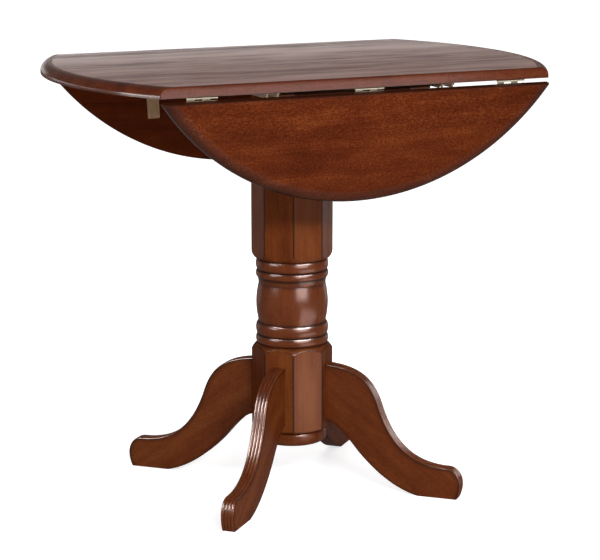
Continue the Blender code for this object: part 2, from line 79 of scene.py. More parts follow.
# Levels of a board below its round-over: height, moulding inset, easing of the square edge and the glaze and
# shade value, which here is painted shade darkening the board's lower edge
LOWER_LEVELS = (
    (0.0, 0.0030, 0.0040, 0.0),
    (0.0, UNDER_ARRIS, UNDER_ARRIS, 0.6),
    (UNDER_ARRIS, 0.0, 0.0, 0.8),
    (ARRIS * 1.5, 0.0, 0.0, 0.5),
    (EDGE_LAND * 0.6, 0.0, 0.0, 0.25),
)
# Darkening of a moulding: at its crest, at its foot, and the steps over which the foot's darkening fades. On
# the panel the crest is glaze and the foot is painted shade under the edge; on the leaves the rim is partly a
# darker stain and partly painted shade, darkest at the outer edge.
PANEL_GLAZE_AND_SHADE = (0.60, 0.25, 4)
LEAF_RIM_STAIN_AND_SHADE = (0.25, 1.0, 16)

# Turning of the column, built up from its foot
BASE_CAP_ROUND = 0.0110
BASE_CAP_MARGIN = 0.004
BASE_CAP_STEPS = 10
BASE_CAP_POINTS = 96
BASE_CAP_CREASE = 40
# The cap is darker towards the bottom: its inner rings and the foot of its rim are darkened, and the top half
# keeps only a share of that
BASE_CAP_DARKENING = 0.3
BASE_CAP_RIM_DARKENING = 0.35
BASE_CAP_TOP_SHARE = 0.5
FOOT_SHOULDER = 0.0060
FOOT_SHOULDER_RADIUS = 0.0765
LOWER_BLOCK_HEIGHT = 0.171
LOWER_SHOULDER = 0.0137
LOWER_BEAD_1 = 0.0196
LOWER_BEAD_2 = 0.0272
BELLY_HEIGHT = 0.083
COVE_HEIGHT = 0.0129
UPPER_BEAD_1 = 0.0170
UPPER_BEAD_2 = 0.0238
UPPER_SHOULDER = 0.0164
BEAD_RADIUS = 0.0775
GROOVE_RADIUS = 0.0738
NECK_RADIUS = 0.0718
BELLY_RADIUS = 0.0769
BEAD_FULLNESS = 0.52
BELLY_FULLNESS = 1.0
COVE_HOLLOW = 0.25
CHAMFER_ROUNDNESS = 1.2
SHOULDER_ROUNDNESS = 1.8
TURNED_STEPS = 16
SHOULDER_STEPS = 12
COLUMN_CREASE = 44
FACET_OFFSETS = (0.0, 0.0008, 0.0022, 0.0045, 0.0090, 0.0160, 0.0245)
BLOCK_EDGE = 0.0012
BLOCK_MARGIN = 0.0035
# The seed of the facets' tones is chosen so that the front facet comes out lightest and the side facets
# darkest: a tone per facet, and painted light and shade
FACET_SHADE_SEED = 58.0
# Glaze and painted shade, darkest in the grooves between the turnings
GROOVE_GLAZE_AND_SHADE = 1.15
GROOVE_REACH = 0.0042
ARRIS_GLAZE = 1.25
ARRIS_REACH = 0.0024
# Painted shade in the recesses at the inner side of the shoulders, where the blocks meet the turnings and the
# base cap
SHOULDER_SHADE = 0.9
SHOULDER_SHADE_STEPS = 5
SCALLOP_GLAZE = 0.75
BLOCK_GLAZE = 0.3
# Glaze and painted shade at the ends of the belly and in the cove
BELLY_GLAZE_AND_SHADE = 0.6
COVE_GLAZE_AND_SHADE = 0.1

# Legs, as distances from the column's axis and heights above the floor
LEG_THICKNESS = 0.028
LEG_TOP = 0.268
LEG_ROOT_BOTTOM = 0.147
SHOULDER_REACH = 0.150
SHOULDER_SAG = 0.004
KNEE = Vector((0.1974, 0.1886))
KNEE_RUN_OUT = 0.0531
KNEE_RUN_IN = 0.0997
KNEE_SLOPE = math.radians(-71.5)
FOOT_HEIGHT = 0.0632
INSTEP_RUN = 0.072
LEG_REACH = 0.371
FOOT_LENGTH = 0.0825
TOE_SETBACK = 0.0190
TOE_PULL = 0.0185
TOE_BULGE = Vector((0.0190, 0.0394))
ARCH = Vector((0.1578, 0.0828))
ARCH_RUN_OUT = 0.0080
ARCH_RUN_IN = 0.0218
ARCH_SLOPE = math.radians(-45)
ARCH_ROOT = Vector((0.025, 0.004))
HEEL = Vector((-0.0672, 0.0143))
CURVE_STEPS = 60
LEG_GAP = 0.0003
REED_COUNT = 4
REED_HEIGHT = 0.0020
REED_LIFT = 0.0012
REED_FULLNESS = 0.5
REED_STEPS = 8
LEG_SECTIONS = 96
LEG_CREASE = 50
# Glaze and painted shade in the valleys between the reeds
VALLEY_GLAZE_AND_SHADE = 0.95
VALLEY_STEEPNESS = 1.8
# Down a leg's side: depths below the reeds, heights above the lower edge and insets under it, with glaze
SIDE_TOP = ((0.0012, 0.8), (0.0035, 0.35), (0.0100, 0.0))
SIDE_FOOT = ((0.0085, 0.0), (0.0030, 0.35), (0.0008, 0.8))
SIDE_UNDER = ((0.0, 0.8), (0.0030, 0.2))
LEG_ANGLES = {"front": -135, "right": -45, "back": 45, "left": 135}

# Screws: rings of a head as (share of its radius, lift, cross recess), places as shares of a flap's length
# and width and of a cleat's length, and how far each screw is turned from the one before
SCREW_POINTS = 16
SCREW_CREASE = 30
SCREW_RINGS = (
    (1.0, 0.0, False),
    (0.96, 0.00025, False),
    (0.72, 0.00040, False),
    (0.52, 0.00045, True),
    (0.30, -0.00005, True),
)
RECESS_WAIST = 0.34
HINGE_SHEET = 0.0010
FLAP_SETBACK = 0.0050
FLAP_SCREWS = ((0.16, 0.30), (0.50, 0.70), (0.84, 0.30))
FLAP_SCREW_RADIUS = 0.0031
FLAP_SCREW_TURN = 0.7
CLEAT_SCREWS = (0.16, 0.39, 0.61, 0.84)
CLEAT_SCREW_TURN = 0.9
FRAME_SCREW_RADIUS = 0.0045
PLATE_SCREW_INSET = 0.026
PLATE_SCREW_SPREAD = 1.16
PLATE_SCREW_TURN = 0.6
DOWN = Vector((0, 0, -1))

# Broken edges of the solids that are shown as they are
WELD_DISTANCE = 0.00002
BEVEL_SEGMENTS = 2
BEVEL_ANGLE = math.radians(40)
WOOD_BEVEL = 0.0012
FLAP_BEVEL = 0.00015
STAY_BEVEL = 0.0003
STEEL_BEVEL = 0.0001

# Stains: dark, middle and light tone, and the colour of the glaze and painted shade
DARK_GLAZE_AND_SHADE = (0.013, 0.005, 0.003)
EDGE_STAIN = ((0.050, 0.0086, 0.0026), (0.106, 0.0190, 0.0046), (0.168, 0.0410, 0.0105), DARK_GLAZE_AND_SHADE)
TOP_STAIN = ((0.031, 0.0062, 0.0019), (0.076, 0.0160, 0.0042), (0.136, 0.0370, 0.0105), DARK_GLAZE_AND_SHADE)
LEAF_STAIN = ((0.039, 0.0070, 0.0023), (0.087, 0.0164, 0.0045), (0.168, 0.0430, 0.0110), DARK_GLAZE_AND_SHADE)
WARM_GLAZE_AND_SHADE = (0.014, 0.005, 0.003)
WARM_STAIN = ((0.057, 0.0120, 0.0032), (0.110, 0.0245, 0.0055), (0.166, 0.0472, 0.0120), WARM_GLAZE_AND_SHADE)
UNDER_STAIN = ((0.030, 0.011, 0.006), (0.060, 0.021, 0.010), (0.100, 0.038, 0.018), (0.015, 0.006, 0.004))
CLEAT_GLAZE = (0.040, 0.016, 0.010)
CLEAT_STAIN = ((0.080, 0.033, 0.019), (0.140, 0.060, 0.034), (0.210, 0.094, 0.056), CLEAT_GLAZE)
# Widths of the boards that a piece is glued up from
TOP_BOARD = 0.062
LEAF_BOARD = 0.083
WIDE_BOARD = 0.2
# Turns that bring the grain along X
LENGTHWISE = (0, 0, 0)
CROSSWISE = (0, 0, math.pi / 2)
UPRIGHT = (0, math.pi / 2, 0)
SLOPING = (0, math.radians(-36), 0)
# How quickly each pattern of the wood changes along and across the grain
FIGURE_SCALE = (2.2, 22.0, 22.0)
STREAK_SCALE = (7.0, 210.0, 210.0)
MOTTLE_SCALE = (11.0, 26.0, 26.0)
FLECK_SCALE = (190.0, 400.0, 400.0)
PORE_SCALE = (60.0, 900.0, 900.0)
BOARD_SHIFT = 7.3
MOTTLE_SHARE = 0.30
STREAK_BALANCE = 0.42
STAIN_STOPS = (0.12, 0.5, 0.88)
PORE_COVER = 0.45
GLAZE_AND_SHADE_COVER = 0.92
MOTTLE_DULLING = 0.08
GLAZE_AND_SHADE_DULLING = 0.45
PORE_DULLING = 0.15
FIGURE_RELIEF = 3.0
GRAIN_DEPTH = 0.0006

# Metal: how quickly the tarnish and its spots change, how much they cover, and the fine brushing
TARNISH_SCALE = (90.0, 90.0, 90.0)
SPOT_SCALE = (420.0, 420.0, 420.0)
TARNISH_COVER = 0.55
SPOT_COVER = 0.18
TARNISH_DULLING = 0.12
BRUSH_DULLING = 0.12
BRUSH_RELIEF = 0.12
BRUSH_DEPTH = 0.0002
STAY_BRUSH = (60.0, 700.0, 60.0)

# The photograph's camera
CAMERA_SENSOR = 36.0
CAMERA_LENS = 132.73
CAMERA_PLACE = (-1.9403, -4.1962, 1.4119)
CAMERA_LOOK = Vector((0.41408, 0.88695, -0.20459))

# Studio: share of the white that also lights the table, and the floor's own colour and glow
WORLD_LIGHT = 0.25
FLOOR_SIZE = 30.0
FLOOR_COLOUR = (0.66, 0.66, 0.66, 1.0)
FLOOR_GLOW = 0.70
FLOOR_FADE = (0.5, 1.8)
WHITE = (1.0, 1.0, 1.0, 1.0)
MIDDLE = (0, 0, 0.5)
# Soft boxes that light the colours: name, place, size and power
BOXES = (
    ("right box", (-0.30, -2.32, 1.46), (1.0, 0.2), 46),
    ("left box", (-2.45, 0.1, 1.20), (0.9, 1.4), 12),
    ("top box", (-0.3, -1.2, 3.0), (2.4, 2.0), 20),
    ("back box", (1.5, 2.3, 1.5), (1.6, 1.4), 38),
    ("front fill", (-0.2, -2.3, 0.45), (1.6, 0.7), 7),
)
# Groups of lacquered pieces, by how the names of the pieces start
GLOSSY = {
    "panel": ("moulded_panel",),
    "pedestal": ("turned", "reeded"),
    "turnings": ("turned",),
    "legs": ("reeded",),
}
# Soft boxes that only glossy rays see: name, place, size, power, aim and the group that they shine on
GLOSSES = (
    ("right gloss", (0.36, -2.38, 1.02), (1.6, 1.16), 330, MIDDLE, "pedestal"),
    ("left gloss", (-2.42, -0.2, 1.15), (1.0, 0.50), 150, MIDDLE, "pedestal"),
    ("high right gloss", (0.55, -1.75, 2.45), (2.2, 2.0), 4200, MIDDLE, "turnings"),
    ("far left gloss", (-1.75, -0.30, 2.45), (1.4, 1.4), 1200, MIDDLE, "turnings"),
    ("high left gloss", (-2.2, -0.5, 1.85), (1.9, 1.1), 1080, MIDDLE, "legs"),
    ("leg gloss", (2.2, 0.7, 0.62), (1.0, 0.8), 110, (0.25, -0.25, 0.25), "legs"),
    ("right facet gloss", (2.1, 0.97, 0.30), (0.7, 0.6), 6, (0, 0, 0.65), "pedestal"),
    ("left facet gloss", (-0.97, 2.09, 0.30), (0.9, 0.6), 4, (0, 0, 0.65), "pedestal"),
    ("floor gloss", (0.42, -0.9, 0.012), (0.8, 0.9), 45, (0.42, -0.9, 1.0), "pedestal"),
    ("edge gloss", (0.50, -2.42, 0.60), (1.9, 0.50), 52, (0, 0, 0.60), "panel"),
    ("rim gloss", (-2.42, 0.1, 0.80), (1.1, 0.13), 85, (0, 0, 0.80), "panel"),
    ("back rim gloss", (-1.75, 1.75, 0.80), (1.8, 0.13), 14, (0, 0, 0.80), "panel"),
    ("back strip", (0.26, 0.72, 0.915), (1.6, 0.10), 2.9, (0.26, 0, 0.915), "panel"),
)

SIDES = {"front": -1, "back": 1}
joints = {joint["name"]: joint for joint in frame["joints"]}


def add_piece(name, mesh_data, glaze, materials, body, crease, place=None):
    """Turn a bmesh with a list of glaze and shade values into a piece that rides on a body."""
    bmesh.ops.recalc_face_normals(mesh_data, faces=mesh_data.faces)
    mesh = bpy.data.meshes.new(name)
    mesh_data.to_mesh(mesh)
    mesh_data.free()
    if glaze:
        mesh.attributes.new("glaze", "FLOAT", "POINT").data.foreach_set("value", glaze)
    mesh.shade_smooth()
    mesh.set_sharp_from_angle(angle=math.radians(crease))
    for material in materials:
        mesh.materials.append(material)
    piece = bpy.data.objects.new(name, mesh)
    bpy.context.scene.collection.objects.link(piece)
    if place is not None:
        piece.matrix_world = place
    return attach(piece, body)


def loft(rows, slot=None):
    """Skin rows of (point, glaze and shade) that all have the same length; gives the mesh and its glaze and
    shade values.

    With slot, the face at row k and place i takes the material of that number.
    """
    mesh_data = bmesh.new()
    glaze = []
    rings = []
    for row in rows:
        rings.append([mesh_data.verts.new(point) for point, value in row])
        glaze += [value for point, value in row]
    for k, (low, high) in enumerate(zip(rings, rings[1:])):
        for i in range(len(low)):
            j = (i + 1) % len(low)
            face = mesh_data.faces.new((low[i], low[j], high[j], high[i]))
            face.material_index = slot(k, i) if slot else 0
    under = mesh_data.faces.new(list(reversed(rings[0])))
    under.material_index = slot(0, 0) if slot else 0
    mesh_data.faces.new(rings[-1])
    return mesh_data, glaze


def bezier(start, pull_out, pull_in, end):
    """Points of a cubic curve, without its last point."""
    points = []
    for i in range(CURVE_STEPS):
        t = i / CURVE_STEPS
        s = 1 - t
        points.append(start * s**3 + pull_out * 3 * s * s * t + pull_in * 3 * s * t * t + end * t**3)
    return points


def corner(before, tip, after):
    """Points that round off a corner."""
    points = []
    for i in range(CORNER_STEPS + 1):
        t = i / CORNER_STEPS
        points.append(before * (1 - t) ** 2 + tip * 2 * t * (1 - t) + after * t * t)
    return points


def arc_circle(half_chord, bulge):
    radius = (half_chord**2 + bulge**2) / (2 * bulge)
    return radius, bulge - radius


def edge_levels(thickness, crest_darkening, foot_darkening, foot_steps):
    """All levels of a moulded board, in the order that LOWER_LEVELS has."""
    rows = list(LOWER_LEVELS)
    for i in range(ROUND_STEPS + 1):
        turn = math.pi / 2 * i / ROUND_STEPS
        height = EDGE_LAND + (thickness - EDGE_LAND) * math.sin(turn)
        below_top = thickness - height
        ease = ARRIS - math.sqrt(max(0.0, ARRIS**2 - max(0.0, ARRIS - below_top) ** 2))
        # Darkening from the crest and from the foot: glaze at the panel's crest, painted shade at the panel's
        # foot, and on the leaves partly stain and partly painted shade
        shade = crest_darkening * math.sin(turn) ** 2 + foot_darkening * max(0.0, 1 - i / foot_steps)
        rows.append((height, ROUND_OVER * (1 - math.cos(turn)), ease, shade))
    rows.append((thickness, ROUND_OVER + MOULDING_MARGIN, ARRIS + SQUARE_MARGIN, 0.0))
    return rows


def board_slot(row, place):
    """A board's moulding is its second material and its under face the third; its face keeps the first."""
    return 2 if row == 0 else 1


def panel_loop(half_width, half_edge, bulge, inset, ease):
    """The panel's outline at one level: two arched ends between the square hinged edges."""
    radius, centre = arc_circle(half_width, bulge)
    radius -= inset
    half = math.asin((half_width - ease) / radius)
    reach = half - CORNER_ROUND / radius
    turns = [reach * (2 * i / (END_POINTS - 1) - 1) for i in range(END_POINTS)]
    bow = [Vector((half_edge + centre + radius * math.cos(t), radius * math.sin(t))) for t in turns]
    tip = Vector((half_edge + centre + radius * math.cos(half), half_width - ease))
    back = corner(bow[-1], tip, tip - Vector((CORNER_ROUND, 0)))
    front = [Vector((p.x, -p.y)) for p in reversed(back)]
    right = front[:-1] + bow + back[1:]
    return right + [-p for p in right]


def leaf_loop(half_edge, depth, inset, ease):
    """A leaf's outline at one level, raised: x along the hinged edge, y out from it."""
    radius, centre = arc_circle(half_edge, depth)
    radius -= inset
    half = math.acos((ease - centre) / radius)
    reach = half - TIP_ROUND / radius
    turns = [reach * (2 * i / (LEAF_POINTS - 1) - 1) for i in range(LEAF_POINTS)]
    bow = [Vector((radius * math.sin(t), centre + radius * math.cos(t))) for t in turns]
    tip = Vector((radius * math.sin(half), ease))
    right = corner(bow[-1], tip, tip - Vector((TIP_ROUND, 0)))
    left = [Vector((-p.x, p.y)) for p in reversed(right)]
    return left[:-1] + bow + right[1:]


def centre_panel(*materials):
    low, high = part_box("centre_panel")
    leaf_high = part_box("front_leaf")[1]
    rows = []
    for height, inset, ease, glaze in edge_levels(high.z - low.z, *PANEL_GLAZE_AND_SHADE):
        loop = panel_loop(high.y, leaf_high.x, high.x - leaf_high.x, inset, ease)
        rows.append([((p.x, p.y, low.z + height), glaze) for p in loop])
    piece = add_piece("moulded_panel", *loft(rows, board_slot), materials, "base", BOARD_CREASE)
    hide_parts("centre_panel")


def drop_leaf(place, side, *materials):
    """A leaf drawn raised about its hinge, then hung by the turn that the joint has from rest."""
    joint = joints[f"{place}_leaf_hinge"]
    panel_low, panel_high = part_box("centre_panel")
    leaf_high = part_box(f"{place}_leaf")[1]
    thickness = panel_high.z - panel_low.z
    pivot = Vector(joint["pos_m"])
    drop = panel_low.z - pivot.z
    hang = math.radians(joint["range_deg"][1])
    turn = Matrix.Rotation(-hang, 4, Vector(joint["axis"]))
    raised = turn.inverted() @ Matrix.Translation(-pivot)
    outs = [side * (raised @ v.co).y for v in frame["nodes"][f"{place}_leaf"].data.vertices]
    near = min(outs)
    rows = []
    for height, inset, ease, glaze in edge_levels(thickness, *LEAF_RIM_STAIN_AND_SHADE):
        loop = leaf_loop(leaf_high.x, max(outs) - near, inset, ease)
        rows.append([((p.x, side * (near + p.y), drop + height), glaze) for p in loop])
    place_at = Matrix.Translation(pivot) @ turn
    body = f"{place}_leaf"
    shape = loft(rows, board_slot)
    piece = add_piece(f"moulded_{place}_leaf", *shape, materials, body, BOARD_CREASE, place_at)
    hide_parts(body)


def eased(count):
    """Steps from 0 to 1 that crowd at both ends."""
    return [(1 - math.cos(math.pi * i / count)) / 2 for i in range(count + 1)]


def swelling(base, height, root, crest, top, fullness, glaze=1.0):
    """Turned rows of (height, radius, glaze and shade) for a rounded swelling, without its last row."""
    rows = []
    for along in eased(TURNED_STEPS)[:-1]:
        foot = root + (top - root) * along
        bulge = math.sin(math.pi * along) ** fullness
        near = min(along, 1 - along) * height
        # Glaze and painted shade, darkest in the groove at each end
        shade = glaze * max(0.0, GROOVE_GLAZE_AND_SHADE - near / GROOVE_REACH)
        rows.append((base + height * along, foot + (crest - foot) * bulge, shade))
    return rows


def column_turns(apothem):
    """Angles round the column, crowded at the arrises, with how near each lies to one."""
    half = apothem * math.tan(math.pi / 8)
    offsets = [half - d for d in FACET_OFFSETS]
    places = [-o for o in offsets] + [0.0] + offsets[:0:-1]
    turns = []
    for facet in range(8):
        for place in places:
            angle = facet * math.pi / 4 + math.atan2(place, apothem)
            radius = math.hypot(place, apothem)
            near = half - abs(place)
            turns.append((angle, radius, near))
    return turns


def shoulder_rows(base, height, inner, outer, roundness, rising, turns):
    """Rows that follow the scalloped line where the lathe's cut meets the octagon."""
    rows = []
    for i in range(SHOULDER_STEPS + 1):
        row = []
        for angle, radius, _ in turns:
            full = ((radius - inner) / (outer - inner)) ** roundness
            last = (1 - min(1.0, full)) ** (1 / roundness)
            depth = 1 + (last - 1) * i / SHOULDER_STEPS
            swell = (1 - depth**roundness) ** (1 / roundness)
            along = 1 - depth if rising else depth
            cut = inner + (outer - inner) * swell
            # Painted shade, darkest in the recess at the shoulder's inner side
            shade = max(0.0, 1 - i / SHOULDER_SHADE_STEPS) * SHOULDER_SHADE
            if i >= SHOULDER_STEPS - 1:
                shade = SCALLOP_GLAZE
            row.append((angle, cut, base + height * along, shade))
        rows.append(row)
    return rows if rising else list(reversed(rows))


def block_rows(low, high, turns):
    """Rows of an octagonal block between the two rows that bound it, without those two."""
    rows = [[], [], [], [], []]
    edges = (BLOCK_GLAZE, 0.0, 0.0, 0.0, BLOCK_GLAZE)
    for (angle, radius, near), start, end in zip(turns, low, high):
        arris = max(0.0, ARRIS_GLAZE - near / ARRIS_REACH)
        foot, head = start[2], end[2]
        heights = (foot + BLOCK_EDGE, foot + BLOCK_MARGIN, (foot + head) / 2,
                   head - BLOCK_MARGIN, head - BLOCK_EDGE)
        for row, z, edge in zip(rows, heights, edges):
            row.append((angle, radius, z, max(arris, edge)))
    return rows


def pedestal_column(facet_wood, turned_wood):
    low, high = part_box("pedestal_column")
    apothem = high.x
    vertex = apothem / math.cos(math.pi / 8)
    turns = column_turns(apothem)

    def ring(z, radius, shade):
        return [(angle, min(radius, limit), z, shade) for angle, limit, _ in turns]

    z = low.z
    foot = shoulder_rows(z, FOOT_SHOULDER, FOOT_SHOULDER_RADIUS, vertex, SHOULDER_ROUNDNESS, True, turns)
    z += LOWER_BLOCK_HEIGHT
    lower = shoulder_rows(z, LOWER_SHOULDER, GROOVE_RADIUS, vertex, CHAMFER_ROUNDNESS, False, turns)
    rows = foot + block_rows(foot[-1], lower[0], turns) + lower[:-1]
    z += LOWER_SHOULDER
    turned = swelling(z, LOWER_BEAD_1, GROOVE_RADIUS, BEAD_RADIUS, GROOVE_RADIUS, BEAD_FULLNESS)
    z += LOWER_BEAD_1
    turned += swelling(z, LOWER_BEAD_2, GROOVE_RADIUS, BEAD_RADIUS, NECK_RADIUS, BEAD_FULLNESS)
    z += LOWER_BEAD_2
    turned += swelling(z, BELLY_HEIGHT, NECK_RADIUS, BELLY_RADIUS, NECK_RADIUS, BELLY_FULLNESS, BELLY_GLAZE_AND_SHADE)
    z += BELLY_HEIGHT
    turned.append((z, NECK_RADIUS, BELLY_GLAZE_AND_SHADE))
    cove_radius = NECK_RADIUS + (GROOVE_RADIUS - NECK_RADIUS) * COVE_HOLLOW
    turned.append((z + COVE_HEIGHT / 2, cove_radius, COVE_GLAZE_AND_SHADE))
    z += COVE_HEIGHT
    turned += swelling(z, UPPER_BEAD_1, GROOVE_RADIUS, BEAD_RADIUS, GROOVE_RADIUS, BEAD_FULLNESS)
    z += UPPER_BEAD_1
    turned += swelling(z, UPPER_BEAD_2, GROOVE_RADIUS, BEAD_RADIUS, GROOVE_RADIUS, BEAD_FULLNESS)
    z += UPPER_BEAD_2
    first = len(rows)
    rows += [ring(*station) for station in turned]
    last = len(rows)
    upper = shoulder_rows(z, UPPER_SHOULDER, GROOVE_RADIUS, vertex, SHOULDER_ROUNDNESS, True, turns)
    top = ring(high.z, vertex, 0.0)
    rows += upper + block_rows(upper[-1], top, turns) + [top]
    points = []
    for row in rows:
        points.append([((r * math.cos(a), r * math.sin(a), h), shade) for a, r, h, shade in row])

    def slot(row, place):
        return 1 if first <= row < last else 0

    woods = [facet_wood, turned_wood]
    piece = add_piece("turned_column", *loft(points, slot), woods, "base", COLUMN_CREASE)
    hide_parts("pedestal_column")


def base_cap(material):
    low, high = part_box("column_base_cap")
    height = high.z - low.z
    inner = high.x - BASE_CAP_ROUND
    half = [(0.0, inner - BASE_CAP_MARGIN, BASE_CAP_DARKENING)]
    for i in range(BASE_CAP_STEPS + 1):
        turn = math.pi / 2 * i / BASE_CAP_STEPS
        rise = BASE_CAP_ROUND * (1 - math.cos(turn))
        # Darker towards the bottom of the rim
        shade = BASE_CAP_RIM_DARKENING * (1 - i / BASE_CAP_STEPS)
        half.append((rise, inner + BASE_CAP_ROUND * math.sin(turn), shade))
    upper = [(height - rise, radius, BASE_CAP_TOP_SHARE * shade) for rise, radius, shade in reversed(half)]
    turns = [2 * math.pi * i / BASE_CAP_POINTS for i in range(BASE_CAP_POINTS)]
    rows = []
    for rise, radius, shade in half + upper:
        rows.append([((radius * math.cos(t), radius * math.sin(t), low.z + rise), shade) for t in turns])
    piece = add_piece("turned_base_cap", *loft(rows), [material], "base", BASE_CAP_CREASE)
    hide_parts("column_base_cap")


def resample(path, count):
    """Points at even distances along a path."""
    runs = [0.0]
    for before, after in zip(path, path[1:]):
        runs.append(runs[-1] + (after - before).length)
    points = []
    k = 0
    for i in range(count):
        at = runs[-1] * i / (count - 1)
        while k < len(path) - 2 and runs[k + 1] < at:
            k += 1
        share = (at - runs[k]) / (runs[k + 1] - runs[k])
        points.append(path[k].lerp(path[k + 1], min(1.0, share)))
    return points


def leg_paths(root):
    """The reeded upper edge and the plain lower edge, as evenly spaced points."""
    along = Vector((math.cos(KNEE_SLOPE), math.sin(KNEE_SLOPE)))
    toe = Vector((LEG_REACH - TOE_SETBACK, FOOT_HEIGHT))
    tip = Vector((LEG_REACH, 0))
    start = Vector((root, LEG_TOP))
    shoulder = Vector((SHOULDER_REACH, LEG_TOP - SHOULDER_SAG))
    top = bezier(start, shoulder, KNEE - along * KNEE_RUN_OUT, KNEE)
    top += bezier(KNEE, KNEE + along * KNEE_RUN_IN, toe - Vector((INSTEP_RUN, 0)), toe)
    top += bezier(toe, toe + Vector((TOE_PULL, 0)), tip + TOE_BULGE, tip) + [tip]
    along = Vector((math.cos(ARCH_SLOPE), math.sin(ARCH_SLOPE)))
    heel = Vector((LEG_REACH - FOOT_LENGTH, 0))
    start = Vector((root, LEG_ROOT_BOTTOM))
    under = bezier(start, start + ARCH_ROOT, ARCH - along * ARCH_RUN_OUT, ARCH)
    under += bezier(ARCH, ARCH + along * ARCH_RUN_IN, heel + HEEL, heel) + [heel]
    return resample(top, LEG_SECTIONS), resample(under, LEG_SECTIONS)


def normals(path, first, last):
    """Normals to the left of a path, with those of its ends given."""
    found = [first]
    for before, after in zip(path, path[2:]):
        run = (after - before).normalized()
        found.append(Vector((-run.y, run.x)))
    return found + [last]


def leg(place, angle, root, *materials):
    """A sawn S-curve with reeds along its upper edge, drawn along +X and turned to its corner."""
    top, under = leg_paths(root)
    half = LEG_THICKNESS / 2
    pitch = LEG_THICKNESS / REED_COUNT
    reeds = []
    for i in range(REED_COUNT * REED_STEPS + 1):
        rise = abs(math.sin(math.pi * i / REED_STEPS)) ** REED_FULLNESS
        reeds.append((i * pitch / REED_STEPS - half, rise))
    top_out = normals(top, Vector((0, 1)), Vector((1, 0)))
    under_in = normals(under, Vector((0, 1)), Vector((1, 0)))
    rows = []
    for p, n, q, m in zip(top, top_out, under, under_in):
        p = p + n * REED_LIFT
        row = []
        for offset, rise in reeds:
            at = p + n * REED_HEIGHT * rise
            # Glaze and painted shade in the valleys between the reeds
            row.append(((at.x, offset, at.y), VALLEY_GLAZE_AND_SHADE * max(0.0, 1 - rise * VALLEY_STEEPNESS)))
        across = [(p - n * depth, half, shade) for depth, shade in SIDE_TOP]
        across.append((p.lerp(q, 0.5), half, 0.0))
        across += [(q + m * height, half, shade) for height, shade in SIDE_FOOT]
        across += [(q, half - inset, shade) for inset, shade in SIDE_UNDER]
        across += [(at, -offset, shade) for at, offset, shade in reversed(across)]
        row += [((at.x, offset, at.y), shade) for at, offset, shade in across]
        rows.append(row)

    def slot(row, place):
        return 1 if place < REED_COUNT * REED_STEPS else 0

    turn = Matrix.Rotation(math.radians(angle), 4, "Z")
    piece = add_piece(f"reeded_{place}_leg", *loft(rows, slot), materials, "base", LEG_CREASE, turn)
    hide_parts(f"{place}_leg")


def add_node(tree, kind, settings=None, **inputs):
    """A shader node with its settings and its inputs, by name or number, as values or links."""
    node = tree.nodes.new(kind)
    for key, value in (settings or {}).items():
        setattr(node, key, value)
    for key, value in inputs.items():
        socket = node.inputs[int(key[1:]) if key[0] == "i" and key[1:].isdigit() else key.replace("_", " ")]
        if isinstance(value, bpy.types.NodeSocket):
            tree.links.new(value, socket)
        else:
            socket.default_value = value
    return node


def calc(tree, operation, a, b=0.0, clamp=False):
    settings = {"operation": operation, "use_clamp": clamp}
    return add_node(tree, "ShaderNodeMath", settings, i0=a, i1=b).outputs[0]


def plus(tree, value, pattern, share, clamp=False):
    """A value with a share of a pattern added to it."""
    return calc(tree, "ADD", value, calc(tree, "MULTIPLY", pattern, share), clamp)


def blend_colour(tree, factor, a, b):
    return add_node(tree, "ShaderNodeMix", {"data_type": "RGBA"}, i0=factor, i6=a, i7=b).outputs[2]


def noise(tree, vector, stretch, detail, rough, distort=0.0):
    settings = {"operation": "MULTIPLY"}
    scaled = add_node(tree, "ShaderNodeVectorMath", settings, i0=vector, i1=stretch).outputs[0]
    texture = add_node(tree, "ShaderNodeTexNoise", None, Vector=scaled, Scale=1.0, Detail=detail,
                       Roughness=rough, Distortion=distort)
    return texture.outputs["Fac"]


def levels(tree, value, low, high):
    """Stretch a value so that low becomes 0 and high becomes 1."""
    settings = {"clamp": True}
    return add_node(tree, "ShaderNodeMapRange", settings, Value=value, From_Min=low, From_Max=high).outputs[0]


def new_material(name):
    material = bpy.data.materials.new(name)
    material.use_nodes = True
    tree = material.node_tree
    return material, tree, tree.nodes["Principled BSDF"]


